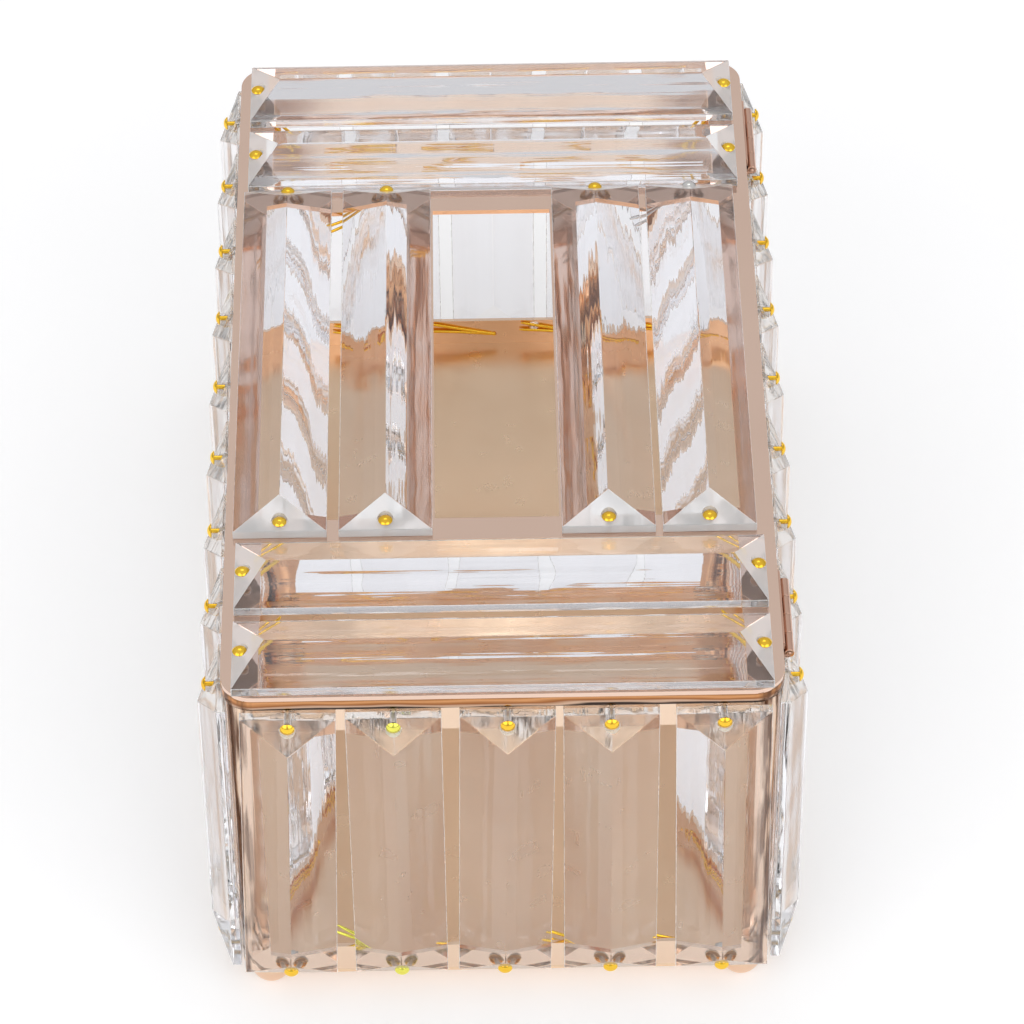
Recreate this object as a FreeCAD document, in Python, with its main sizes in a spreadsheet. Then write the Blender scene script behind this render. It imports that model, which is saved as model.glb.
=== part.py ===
import FreeCAD, Part
import math
import os
import Sketcher

# Wedding card box: a polished sheet-metal casket whose windows are filled with crystal prism bars.
# Origin: centre of the footprint, on the table. +Z up, +Y along the length, lid hinged on the +X side.

os.makedirs("parts", exist_ok=True)
doc = FreeCAD.newDocument("wedding_card_box")

# ---------------------------------------------------------------- driving dimensions, mm and degrees
SIZES = {
    # sheet-metal body
    "body_width": 123.0,
    "body_length": 219.0,
    "body_corner_radius": 6.0,
    "wall_thickness": 1.0,
    "wall_height": 90.6,
    "floor_thickness": 1.0,
    "bottom_rail": 7.9,
    "top_rail": 10.2,
    "corner_post": 8.0,
    "spare_hole_radius": 1.0,
    "spare_hole_side": 10.6,
    "spare_hole_drop": 1.9,
    # lid
    "lid_thickness": 1.2,
    "lid_rim_thickness": 0.8,
    "lid_rim_depth": 4.0,
    "lid_seat_gap": 0.3,
    "lid_side_gap": 0.3,
    "lid_side_strip": 8.5,
    "lid_end_strip": 2.7,
    "cross_rail": 7.6,
    "cross_rail_lead": 1.8,
    "card_slot_width": 28.5,
    "slot_rail": 7.4,
    "slot_rail_lip": 0.5,
    # crystal prism bars
    "crystal_plinth": 2.2,
    "crystal_crown": 7.0,
    "crystal_hip": 7.3,
    "crystal_hole_inset": 1.8,
    "crystal_bore_clearance": 0.2,
    "seat_clearance": 0.25,
    "wall_bar_gap": 3.2,
    "wall_bar_drop": 1.8,
    "wall_bar_foot_gap": 1.6,
    "front_bar_margin": 1.6,
    "side_bar_margin": 0.4,
    "crosswise_bar_width": 21.4,
    "crosswise_bar_margin": 2.6,
    "crosswise_end_margin": 0.6,
    "crosswise_bar_gap": 3.8,
    "crosswise_back_shift": 1.6,
    "lengthwise_end_gap": 3.4,
    "lid_bar_edge_left": 1.8,
    "lid_bar_gap_left": 2.7,
    "lid_bar_gap_right": 1.6,
    "lid_bar_edge_right": 4.0,
    # hand-set lean and sideways offset of each front bar
    "front_lean_1": 1.5,
    "front_lean_2": -0.1,
    "front_lean_3": 0.9,
    "front_lean_4": -0.1,
    "front_lean_5": -0.7,
    "front_shift_1": 0.3,
    "front_shift_2": 0.3,
    "front_shift_3": 0.35,
    "front_shift_4": -0.5,
    "front_shift_5": 0.35,
    # crystal pins
    "pin_head_radius": 1.65,
    "pin_head_rim": 0.25,
    "pin_head_dome": 0.8,
    "pin_shaft_radius": 0.55,
    "pin_rail_clearance": 0.15,
    "pin_leg_radius": 0.45,
    "pin_leg_length": 18.0,
    "pin_leg_spread": 4.0,
    "pin_leg_rise": 9.0,
    "pin_leg_room": 0.3,
    "lid_leg_room": 2.0,
    "side_pin_stand": 1.4,
    # ball feet and their screws
    "foot_height": 6.0,
    "foot_radius": 4.9,
    "foot_flat_depth": 0.3,
    "foot_inset_side": 6.5,
    "foot_inset_end": 5.2,
    "screw_radius": 1.5,
    "screw_clearance": 0.15,
    "screw_bite": 0.01,
    "screw_head_radius": 2.7,
    "screw_head_height": 1.2,
    "screw_slot_width": 0.6,
    "screw_slot_depth": 0.6,
    "screw_reach": 4.4,
    "screw_hole_spare": 0.4,
    # hinges
    "hinge_inset": 25.5,
    "hinge_length": 23.0,
    "hinge_axis_offset": 1.5,
    "hinge_knuckle_radius": 1.2,
    "hinge_pin_radius": 0.6,
    "hinge_pin_stand": 0.15,
    "hinge_running_gap": 0.05,
    "hinge_press": 0.01,
    "hinge_knuckle_gap": 0.15,
    "hinge_sheet": 0.5,
    "hinge_notch": 0.3,
    "hinge_flange_drop": 1.4,
    "hinge_lid_leaf_margin": 0.5,
    "hinge_slot_gap": 0.1,
}
FRONT_BARS = 5
SIDE_BARS = 9
KNUCKLES = 4
# How steeply each front bar's lower pin legs were bent, in degrees from left to right.
FRONT_LEG_RISES = (9.0, 31.0, 12.0, 22.0, 14.0)
# Where the legs of the lid's pins were bent to, in degrees from +X towards +Y: on the rails they run
# towards the neighbouring bar, and on the side strips they slant inwards.
LEGS_TO_RIGHT = (-10.0, 10.0)
LEGS_TO_LEFT = (175.0, 210.0)
STRIP_LEG_SLANT = 57.0

sheet = doc.addObject("Spreadsheet::Sheet", "Sizes")
for row, (alias, number) in enumerate(SIZES.items(), start=1):
    sheet.set(f"A{row}", alias)
    sheet.set(f"B{row}", str(number))
    sheet.setAlias(f"B{row}", alias)
doc.recompute()


def cell(alias):
    """Expression that reads one driving dimension."""
    return f"Sizes.{alias}"


def value(expression):
    """Number that an expression gives now."""
    result = sheet.evalExpression(expression)
    return float(getattr(result, "Value", result))


def measure(alias):
    """Number in one cell of the sheet."""
    return value(cell(alias))


# ---------------------------------------------------------------- derived places, as expressions
FLOOR_TOP = f"({cell('foot_height')} + {cell('floor_thickness')})"
WALL_TOP = f"({FLOOR_TOP} + {cell('wall_height')})"
LID_UNDER = f"({WALL_TOP} + {cell('lid_seat_gap')})"
LID_TOP = f"({LID_UNDER} + {cell('lid_thickness')})"
RIM_BOTTOM = f"({LID_TOP} - {cell('lid_rim_depth')})"
HALF_WIDTH = f"({cell('body_width')} / 2)"
HALF_LENGTH = f"({cell('body_length')} / 2)"
LID_OVERHANG = f"({cell('lid_side_gap')} + {cell('lid_rim_thickness')})"
LID_CORNER_RADIUS = f"({cell('body_corner_radius')} + {LID_OVERHANG})"
LID_HALF_WIDTH = f"({HALF_WIDTH} + {LID_OVERHANG})"
LID_HALF_LENGTH = f"({HALF_LENGTH} + {LID_OVERHANG})"
WINDOW_HALF_WIDTH = f"({LID_HALF_WIDTH} - {cell('lid_side_strip')})"
SILL = f"({FLOOR_TOP} + {cell('bottom_rail')})"
PIN_HOLE_RADIUS = f"({cell('pin_shaft_radius')} + {cell('pin_rail_clearance')})"
HINGE_X = f"({LID_HALF_WIDTH} + {cell('hinge_axis_offset')})"
HINGE_Z = RIM_BOTTOM
HINGE_WEB_BOTTOM = f"({HINGE_Z} - {cell('hinge_knuckle_radius')})"
FOOT_X = f"({HALF_WIDTH} - {cell('foot_inset_side')})"
FOOT_Y = f"({HALF_LENGTH} - {cell('foot_inset_end')})"


def shared_width(room, margin, gap, count):
    """Width of each of several equal bars side by side on one wall."""
    return f"(({room} - 2 * {margin} - {count - 1} * {gap}) / {count})"


# Bars of each wall: width, pitch, and the height between the lid's rim and the floor plate.
FRONT_BAR_WIDTH = shared_width(
    cell("body_width"), cell("front_bar_margin"), cell("wall_bar_gap"), FRONT_BARS)
SIDE_BAR_WIDTH = shared_width(
    cell("body_length"), cell("side_bar_margin"), cell("wall_bar_gap"), SIDE_BARS)
FRONT_PITCH = f"({FRONT_BAR_WIDTH} + {cell('wall_bar_gap')})"
SIDE_PITCH = f"({SIDE_BAR_WIDTH} + {cell('wall_bar_gap')})"
BAR_TOP = f"({RIM_BOTTOM} - {cell('wall_bar_drop')})"
BAR_BOTTOM = f"({FLOOR_TOP} + {cell('wall_bar_foot_gap')})"
WALL_BAR_LENGTH = f"({BAR_TOP} - {BAR_BOTTOM})"
BAR_MIDDLE = f"(({BAR_TOP} + {BAR_BOTTOM}) / 2)"
WALL_PIN_REACH = f"({WALL_BAR_LENGTH} / 2 - {cell('crystal_hole_inset')})"


def front_bar_x(number):
    """Centre of front bar 1 to 5, with its own offset."""
    steps = number - (FRONT_BARS + 1) / 2
    return f"({steps} * {FRONT_PITCH} + {cell(f'front_shift_{number}')})"


def back_bar_x(number):
    return f"({number - (FRONT_BARS + 1) / 2} * {FRONT_PITCH})"


def side_bar_y(number):
    return f"({number - (SIDE_BARS + 1) / 2} * {SIDE_PITCH})"


# Crosswise bars, two at each end of the lid, from the front edge to the back edge.
# The back pair is set a little nearer the middle than the front pair.
CROSSWISE_LENGTH = f"(2 * ({LID_HALF_WIDTH} - {cell('crosswise_bar_margin')}))"
CROSSWISE_PITCH = f"({cell('crosswise_bar_width')} + {cell('crosswise_bar_gap')})"
CROSS_OUTER_Y = (f"({LID_HALF_LENGTH} - {cell('crosswise_end_margin')}"
                 f" - {cell('crosswise_bar_width')} / 2)")
CROSS_INNER_Y = f"({CROSS_OUTER_Y} - {CROSSWISE_PITCH})"
CROSSWISE_Y = (f"(-{CROSS_OUTER_Y})", f"(-{CROSS_INNER_Y})",
               f"({CROSS_INNER_Y} - {cell('crosswise_back_shift')})",
               f"({CROSS_OUTER_Y} - {cell('crosswise_back_shift')})")
CROSSWISE_PIN_REACH = f"({CROSSWISE_LENGTH} / 2 - {cell('crystal_hole_inset')})"

# Lengthwise bars, one pair on each side of the card slot, from left to right.
LENGTHWISE_HALF = f"({CROSS_INNER_Y} - {cell('crosswise_bar_width')} / 2 - {cell('lengthwise_end_gap')})"
LENGTHWISE_LENGTH = f"(2 * {LENGTHWISE_HALF})"
LENGTHWISE_PIN_REACH = f"({LENGTHWISE_HALF} - {cell('crystal_hole_inset')})"
MIDDLE_GAP = f"({cell('card_slot_width')} + 2 * {cell('slot_rail_lip')})"
LENGTHWISE_WIDTH = (f"((2 * {LID_HALF_WIDTH} - {cell('lid_bar_edge_left')} - {cell('lid_bar_gap_left')}"
                    f" - {MIDDLE_GAP} - {cell('lid_bar_gap_right')}"
                    f" - {cell('lid_bar_edge_right')}) / 4)")
LID_BAR_1_X = f"({cell('lid_bar_edge_left')} + {LENGTHWISE_WIDTH} / 2 - {LID_HALF_WIDTH})"
LID_BAR_2_X = f"({LID_BAR_1_X} + {LENGTHWISE_WIDTH} + {cell('lid_bar_gap_left')})"
LID_BAR_4_X = f"({LID_HALF_WIDTH} - {cell('lid_bar_edge_right')} - {LENGTHWISE_WIDTH} / 2)"
LID_BAR_3_X = f"({LID_BAR_4_X} - {LENGTHWISE_WIDTH} - {cell('lid_bar_gap_right')})"
LENGTHWISE_X = (LID_BAR_1_X, LID_BAR_2_X, LID_BAR_3_X, LID_BAR_4_X)
RAIL_OUTER = f"({LENGTHWISE_HALF} + {cell('cross_rail_lead')})"
RAIL_INNER = f"({RAIL_OUTER} - {cell('cross_rail')})"
SLOT_LEFT = f"({LID_BAR_2_X} + {LENGTHWISE_WIDTH} / 2 + {cell('slot_rail_lip')})"
SLOT_RIGHT = f"({SLOT_LEFT} + {cell('card_slot_width')})"

# A pin's head seats where the hip facet passes its hole.
SEAT_HEIGHT = (f"({cell('crystal_plinth')} + ({cell('crystal_crown')} - {cell('crystal_plinth')})"
               f" * {cell('crystal_hole_inset')} / {cell('crystal_hip')})")

nodes = []


# ---------------------------------------------------------------- building helpers
def bind(item, **expressions):
    for path, expression in expressions.items():
        item.setExpression(path.replace("_at_", "Placement.Base."), expression)
    return item


def box(name, low, lengths):
    """Block from its low corner and its three lengths, all expressions."""
    item = doc.addObject("Part::Box", name)
    bind(item, Length=lengths[0], Width=lengths[1], Height=lengths[2])
    return bind(item, _at_x=low[0], _at_y=low[1], _at_z=low[2])


UP = FreeCAD.Rotation()
ALONG_Y = FreeCAD.Rotation(FreeCAD.Vector(1, 0, 0), -90)


def cylinder(name, start, radius, length, turn=UP):
    item = doc.addObject("Part::Cylinder", name)
    item.Placement.Rotation = turn
    bind(item, Radius=radius, Height=length)
    return bind(item, _at_x=start[0], _at_y=start[1], _at_z=start[2])


def fuse(name, parts):
    item = doc.addObject("Part::MultiFuse", name)
    item.Shapes = parts
    item.Refine = True
    return item


def cut(name, base, tool):
    item = doc.addObject("Part::Cut", name)
    item.Base = base
    item.Tool = tool
    return item


def node(item, label):
    """Mark an object as one finished sub-part."""
    item.Label = label
    nodes.append(item)
    return item


def origin_plane(body, role):
    for feature in body.Origin.OriginFeatures:
        if feature.Role == role:
            return feature
    raise ValueError(role)


def sketch_on(body, name, role, offset="0"):
    """Empty sketch on one of the body's own origin planes, moved along the plane's normal."""
    sketch = body.newObject("Sketcher::SketchObject", name)
    sketch.AttachmentSupport = [(origin_plane(body, role), "")]
    sketch.MapMode = "FlatFace"
    sketch.setExpression("AttachmentOffset.Base.z", offset)
    return sketch


def constrain(sketch, expression, kind, *where):
    """Add one dimension and bind it to an expression."""
    index = sketch.addConstraint(Sketcher.Constraint(kind, *where, value(expression)))
    sketch.setExpression(f"Constraints[{index}]", expression)


def add_rectangle(sketch, low, high):
    """Rectangle between two corners, each an (x, y) pair of expressions."""
    x0, y0 = (value(part) for part in low)
    x1, y1 = (value(part) for part in high)
    corners = [FreeCAD.Vector(x, y, 0) for x, y in ((x0, y0), (x1, y0), (x1, y1), (x0, y1))]
    first = sketch.GeometryCount
    for step in range(4):
        sketch.addGeometry(Part.LineSegment(corners[step], corners[(step + 1) % 4]))
    for step in range(4):
        sketch.addConstraint(
            Sketcher.Constraint("Coincident", first + step, 2, first + (step + 1) % 4, 1))
        kind = "Horizontal" if step % 2 == 0 else "Vertical"
        sketch.addConstraint(Sketcher.Constraint(kind, first + step))
    constrain(sketch, low[0], "DistanceX", -1, 1, first, 1)
    constrain(sketch, low[1], "DistanceY", -1, 1, first, 1)
    constrain(sketch, high[0], "DistanceX", -1, 1, first + 2, 1)
    constrain(sketch, high[1], "DistanceY", -1, 1, first + 2, 1)


def add_rounded_rectangle(sketch, half_x, half_y, radius):
    """Rectangle centred on the origin with four round corners."""
    hx, hy, r = value(half_x), value(half_y), value(radius)
    first = sketch.GeometryCount
    sides = (
        ((r - hx, -hy), (hx - r, -hy)),
        ((hx, r - hy), (hx, hy - r)),
        ((hx - r, hy), (r - hx, hy)),
        ((-hx, hy - r), (-hx, r - hy)),
    )
    for start, end in sides:
        sketch.addGeometry(Part.LineSegment(FreeCAD.Vector(*start, 0), FreeCAD.Vector(*end, 0)))
    centres = ((hx - r, r - hy), (hx - r, hy - r), (r - hx, hy - r), (r - hx, r - hy))
    for quarter, centre in enumerate(centres):
        circle = Part.Circle(FreeCAD.Vector(*centre, 0), FreeCAD.Vector(0, 0, 1), r)
        begin = math.radians(90 * quarter - 90)
        sketch.addGeometry(Part.ArcOfCircle(circle, begin, begin + math.pi / 2))
    for step in range(4):
        arc = first + 4 + step
        sketch.addConstraint(Sketcher.Constraint("Tangent", first + step, 2, arc, 1))
        sketch.addConstraint(Sketcher.Constraint("Tangent", arc, 2, first + (step + 1) % 4, 1))
    for step in range(3):
        sketch.addConstraint(Sketcher.Constraint("Equal", first + 4, first + 5 + step))
    sketch.addConstraint(Sketcher.Constraint("Horizontal", first))
    sketch.addConstraint(Sketcher.Constraint("Vertical", first + 1))
    sketch.addConstraint(Sketcher.Constraint("Symmetric", first, 1, first + 2, 1, -1, 1))
    constrain(sketch, half_y, "DistanceY", first, 1, -1, 1)
    constrain(sketch, half_x, "DistanceX", -1, 1, first + 1, 1)
    constrain(sketch, radius, "Radius", first + 4)


def add_circles(sketch, centres, radius):
    for x, y in centres:
        place = FreeCAD.Vector(value(x), value(y), 0)
        index = sketch.addGeometry(Part.Circle(place, FreeCAD.Vector(0, 0, 1), value(radius)))
        constrain(sketch, x, "DistanceX", -1, 1, index, 3)
        constrain(sketch, y, "DistanceY", -1, 1, index, 3)
        constrain(sketch, radius, "Radius", index)


def pad(body, sketch, length):
    """Thicken a sketch along its normal."""
    feature = body.newObject("PartDesign::Pad", sketch.Name + "_pad")
    feature.Profile = sketch
    feature.setExpression("Length", length)
    doc.recompute()
    return feature


def pocket(body, sketch, length, sides="One side", reverse=False):
    """Cut a sketch away and make sure that it took material."""
    before = body.Shape.Volume
    feature = body.newObject("PartDesign::Pocket", sketch.Name + "_pocket")
    feature.Profile = sketch
    feature.SideType = sides
    feature.Reversed = reverse
    feature.setExpression("Length", length)
    doc.recompute()
    if body.Shape.Volume >= before:
        raise ValueError(f"{sketch.Name} cuts nothing")
    return feature


# ---------------------------------------------------------------- body frame, floor and lid
def pin_rows(centre, reach, middle, lean="0"):
    """Upper and lower pin hole of one leaning wall bar, as (side, height) expressions."""
    side = f"({reach}) * sin({lean} * 1 deg)"
    rise = f"({reach}) * cos({lean} * 1 deg)"
    return [(f"{centre} + {side}", f"{middle} + {rise}"), (f"{centre} - {side}", f"{middle} - {rise}")]


def front_pin_places():
    places = []
    for number in range(1, FRONT_BARS + 1):
        lean = cell(f"front_lean_{number}")
        places.extend(pin_rows(front_bar_x(number), WALL_PIN_REACH, BAR_MIDDLE, lean))
    return places


def back_pin_places():
    places = []
    for number in range(1, FRONT_BARS + 1):
        places.extend(pin_rows(back_bar_x(number), WALL_PIN_REACH, BAR_MIDDLE))
    return places


def side_pin_places():
    places = []
    for number in range(1, SIDE_BARS + 1):
        places.extend(pin_rows(side_bar_y(number), WALL_PIN_REACH, BAR_MIDDLE))
    return places


def make_body_frame():
    """Four-walled sheet frame: rails, corner posts, one window per wall, pin holes, hinge slots."""
    body = doc.addObject("PartDesign::Body", "BodyFrame")
    walls = sketch_on(body, "FrameWalls", "XY_Plane", FLOOR_TOP)
    add_rounded_rectangle(walls, HALF_WIDTH, HALF_LENGTH, cell("body_corner_radius"))
    add_rounded_rectangle(
        walls,
        f"{HALF_WIDTH} - {cell('wall_thickness')}",
        f"{HALF_LENGTH} - {cell('wall_thickness')}",
        f"{cell('body_corner_radius')} - {cell('wall_thickness')}",
    )
    pad(body, walls, cell("wall_height"))
    head = f"({WALL_TOP} - {cell('top_rail')})"
    for name, role, half in (("End", "XZ_Plane", HALF_WIDTH), ("Long", "YZ_Plane", HALF_LENGTH)):
        opening = f"({half} - {cell('corner_post')})"
        window = sketch_on(body, f"{name}Windows", role)
        add_rectangle(window, (f"-{opening}", SILL), (opening, head))
        through = f"2 * ({cell('body_width')} + {cell('body_length')})"
        pocket(body, window, through, "Symmetric")
    side_holes = sketch_on(body, "SidePinHoles", "YZ_Plane")
    add_circles(side_holes, side_pin_places(), PIN_HOLE_RADIUS)
    pocket(body, side_holes, f"2 * {cell('body_width')}", "Symmetric")
    front_holes = sketch_on(body, "FrontPinHoles", "XZ_Plane")
    add_circles(front_holes, front_pin_places(), PIN_HOLE_RADIUS)
    pocket(body, front_holes, cell("body_length"), reverse=True)
    back_holes = sketch_on(body, "BackPinHoles", "XZ_Plane")
    add_circles(back_holes, back_pin_places(), PIN_HOLE_RADIUS)
    pocket(body, back_holes, cell("body_length"))
    spare = sketch_on(body, "SpareHole", "XZ_Plane")
    add_circles(
        spare,
        [(cell("spare_hole_side"), f"{SILL} - {cell('spare_hole_drop')}")],
        cell("spare_hole_radius"),
    )
    pocket(body, spare, cell("body_length"))
    slots = sketch_on(body, "HingeSlots", "YZ_Plane")
    for side in (-1, 1):
        middle = hinge_y(side)
        half = f"({cell('hinge_length')} / 2 + {cell('hinge_slot_gap')})"
        slot_top = f"{HINGE_WEB_BOTTOM} + {cell('hinge_sheet')} + {cell('hinge_slot_gap')}"
        add_rectangle(slots, (f"{middle} - {half}", HINGE_WEB_BOTTOM), (f"{middle} + {half}", slot_top))
    pocket(body, slots, cell("body_width"), reverse=True)
    node(body, "body_frame")


def foot_places():
    return [(f"{sx} * {FOOT_X}", f"{sy} * {FOOT_Y}") for sy in (-1, 1) for sx in (-1, 1)]


def make_floor_panel():
    """Floor plate that the walls stand on, soldered edge to edge, drilled for the foot screws."""
    body = doc.addObject("PartDesign::Body", "FloorPanel")
    plate = sketch_on(body, "FloorPlate", "XY_Plane", cell("foot_height"))
    add_rounded_rectangle(plate, HALF_WIDTH, HALF_LENGTH, cell("body_corner_radius"))
    pad(body, plate, cell("floor_thickness"))
    holes = sketch_on(body, "FloorScrewHoles", "XY_Plane", FLOOR_TOP)
    add_circles(holes, foot_places(), f"{cell('screw_radius')} + {cell('screw_clearance')}")
    pocket(body, holes, f"2 * {cell('floor_thickness')}")
    node(body, "floor_panel")


def lid_pin_places():
    """Pin holes of the lid's eight bars, as (x, y, leg direction in degrees) per pin."""
    places = []
    for number, x in enumerate(LENGTHWISE_X):
        # The bars of a pair bend their legs towards each other, clear of the card slot.
        front, back = LEGS_TO_RIGHT if number in (0, 2) else LEGS_TO_LEFT
        places.append((x, f"(-{LENGTHWISE_PIN_REACH})", front))
        places.append((x, LENGTHWISE_PIN_REACH, back))
    for number, y in enumerate(CROSSWISE_Y):
        slant = STRIP_LEG_SLANT if number < len(CROSSWISE_Y) / 2 else -STRIP_LEG_SLANT
        places.append((f"(-{CROSSWISE_PIN_REACH})", y, slant))
        places.append((CROSSWISE_PIN_REACH, y, 180.0 - slant))
    return places


def make_lid_plate():
    """Flat lid sheet: two end windows, and the card slot with a window on each side of its rails."""
    body = doc.addObject("PartDesign::Body", "LidPlate")
    sheet_outline = sketch_on(body, "LidSheet", "XY_Plane", LID_UNDER)
    add_rounded_rectangle(sheet_outline, LID_HALF_WIDTH, LID_HALF_LENGTH, LID_CORNER_RADIUS)
    pad(body, sheet_outline, cell("lid_thickness"))
    windows = sketch_on(body, "LidWindows", "XY_Plane", LID_TOP)
    end = f"({LID_HALF_LENGTH} - {cell('lid_end_strip')})"
    left = f"-{WINDOW_HALF_WIDTH}"
    add_rectangle(windows, (left, f"-{end}"), (WINDOW_HALF_WIDTH, f"-{RAIL_OUTER}"))
    left_rail = f"{SLOT_LEFT} - {cell('slot_rail')}"
    right_rail = f"{SLOT_RIGHT} + {cell('slot_rail')}"
    add_rectangle(windows, (left, f"-{RAIL_INNER}"), (left_rail, RAIL_INNER))
    add_rectangle(windows, (SLOT_LEFT, f"-{RAIL_INNER}"), (SLOT_RIGHT, RAIL_INNER))
    add_rectangle(windows, (right_rail, f"-{RAIL_INNER}"), (WINDOW_HALF_WIDTH, RAIL_INNER))
    add_rectangle(windows, (left, RAIL_OUTER), (WINDOW_HALF_WIDTH, end))
    pocket(body, windows, f"2 * {cell('lid_thickness')}")
    holes = sketch_on(body, "LidPinHoles", "XY_Plane", LID_TOP)
    add_circles(holes, [(x, y) for x, y, _ in lid_pin_places()], PIN_HOLE_RADIUS)
    pocket(body, holes, f"2 * {cell('lid_thickness')}")
    node(body, "lid_plate")


def make_lid_rim():
    """Band soldered under the edge of the lid sheet, which hangs down outside the walls."""
    body = doc.addObject("PartDesign::Body", "LidRim")
    band = sketch_on(body, "LidBand", "XY_Plane", RIM_BOTTOM)
    thickness = cell("lid_rim_thickness")
    add_rounded_rectangle(band, LID_HALF_WIDTH, LID_HALF_LENGTH, LID_CORNER_RADIUS)
    add_rounded_rectangle(
        band,
        f"{LID_HALF_WIDTH} - {thickness}",
        f"{LID_HALF_LENGTH} - {thickness}",
        f"{LID_CORNER_RADIUS} - {thickness}",
    )
    pad(body, band, f"{cell('lid_rim_depth')} - {cell('lid_thickness')}")
    node(body, "lid_rim")


# ---------------------------------------------------------------- crystal prism bars
def make_crystal(label, width, length, place, turn):
    """Hip-roofed prism bar: local +Y points out of the metal and local Z runs along the bar."""
    half = f"({length} / 2)"
    plinth = box(
        label + "_plinth",
        (f"-{width} / 2", "0", f"-{half}"),
        (width, cell("crystal_plinth"), length),
    )
    roof = doc.addObject("Part::Wedge", label + "_roof")
    bind(
        roof,
        Xmin=f"-{width} / 2",
        Xmax=f"{width} / 2",
        Ymin=cell("crystal_plinth"),
        Ymax=cell("crystal_crown"),
        Zmin=f"-{half}",
        Zmax=half,
        X2min="0",
        X2max="0",
        Z2min=f"{cell('crystal_hip')} - {half}",
        Z2max=f"{half} - {cell('crystal_hip')}",
    )
    blank = fuse(label + "_blank", [plinth, roof])
    drills = []
    for side in (-1, 1):
        along = f"{side} * ({half} - {cell('crystal_hole_inset')})"
        bore = cylinder(
            f"{label}_bore_{side + 1}",
            ("0", "0", along),
            f"{cell('pin_shaft_radius')} + {cell('crystal_bore_clearance')}",
            cell("crystal_crown"),
            ALONG_Y,
        )
        seat = cylinder(
            f"{label}_seat_{side + 1}",
            ("0", SEAT_HEIGHT, along),
            f"{cell('pin_head_radius')} + {cell('seat_clearance')}",
            cell("crystal_crown"),
            ALONG_Y,
        )
        drills.extend([bore, seat])
    crystal = cut(label, blank, fuse(label + "_drills", drills))
    crystal.Placement.Rotation = turn
    bind(crystal, _at_x=place[0], _at_y=place[1], _at_z=place[2])
    node(crystal, label)


def spin(axis, degrees):
    return FreeCAD.Rotation(FreeCAD.Vector(*axis), degrees)


X_AXIS = (1, 0, 0)
Y_AXIS = (0, 1, 0)
Z_AXIS = (0, 0, 1)


def make_wall_crystals():
    half_turn = spin(Z_AXIS, 180)
    for number in range(1, FRONT_BARS + 1):
        lean = spin(Y_AXIS, measure(f"front_lean_{number}"))
        place = (front_bar_x(number), f"-{HALF_LENGTH}", BAR_MIDDLE)
        label = f"front_crystal_{number}"
        make_crystal(label, FRONT_BAR_WIDTH, WALL_BAR_LENGTH, place, lean * half_turn)
    for number in range(1, FRONT_BARS + 1):
        place = (back_bar_x(number), HALF_LENGTH, BAR_MIDDLE)
        make_crystal(f"back_crystal_{number}", FRONT_BAR_WIDTH, WALL_BAR_LENGTH, place, UP)
    for side, sign in (("left", -1), ("right", 1)):
        quarter_turn = spin(Z_AXIS, sign * -90)
        for number in range(1, SIDE_BARS + 1):
            place = (f"{sign} * {HALF_WIDTH}", side_bar_y(number), BAR_MIDDLE)
            label = f"{side}_crystal_{number}"
            make_crystal(label, SIDE_BAR_WIDTH, WALL_BAR_LENGTH, place, quarter_turn)


def make_lid_crystals():
    lengthwise = spin(X_AXIS, 90)
    crosswise = spin(Z_AXIS, 90) * lengthwise
    for number, x in enumerate(LENGTHWISE_X, start=1):
        label = f"lid_lengthwise_crystal_{number}"
        make_crystal(label, LENGTHWISE_WIDTH, LENGTHWISE_LENGTH, (x, "0", LID_TOP), lengthwise)
    width = cell("crosswise_bar_width")
    for number, y in enumerate(CROSSWISE_Y, start=1):
        label = f"lid_crosswise_crystal_{number}"
        make_crystal(label, width, CROSSWISE_LENGTH, ("0", y, LID_TOP), crosswise)


# ---------------------------------------------------------------- split pins that hold the crystals
def pin_solid(place, outward, towards, rise, sheet_thickness, leg_length, stand=0.0):
    """Domed split pin from the sheet's outer face: shaft through crystal and sheet, two bent legs."""
    leg_radius = measure("pin_leg_radius")
    head_radius = measure("pin_head_radius")
    rim_height = measure("pin_head_rim")
    dome = measure("pin_head_dome")
    under_head = value(SEAT_HEIGHT) + stand
    depth = sheet_thickness + leg_radius
    bend = place - outward * depth
    shaft = Part.makeCylinder(measure("pin_shaft_radius"), under_head + depth, bend, outward)
    rim_place = place + outward * under_head
    rim = Part.makeCylinder(head_radius, rim_height, rim_place, outward)
    dome_radius = (head_radius ** 2 + dome ** 2) / (2 * dome)
    dome_base = rim_place + outward * rim_height
    ball = Part.makeSphere(dome_radius, dome_base - outward * (dome_radius - dome))
    cap = ball.common(Part.makeCylinder(head_radius, dome, dome_base, outward))
    across = outward.cross(towards)
    solids = [rim, cap]
    for side in (-1, 1):
        angle = math.radians(rise + side * measure("pin_leg_spread"))
        heading = towards * math.cos(angle) + across * math.sin(angle)
        solids.append(Part.makeCylinder(leg_radius, leg_length, bend, heading))
    return shaft.multiFuse(solids).removeSplitter()


def vector(*expressions):
    return FreeCAD.Vector(*(value(expression) for expression in expressions))


def node_of_solids(label, solids):
    """One sub-part made of several equal fasteners."""
    group = doc.addObject("Part::Feature", label)
    group.Shape = Part.makeCompound(solids)
    node(group, label)


LEFT = FreeCAD.Vector(-1, 0, 0)
FRONT = FreeCAD.Vector(0, -1, 0)
TOP = FreeCAD.Vector(0, 0, 1)


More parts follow.
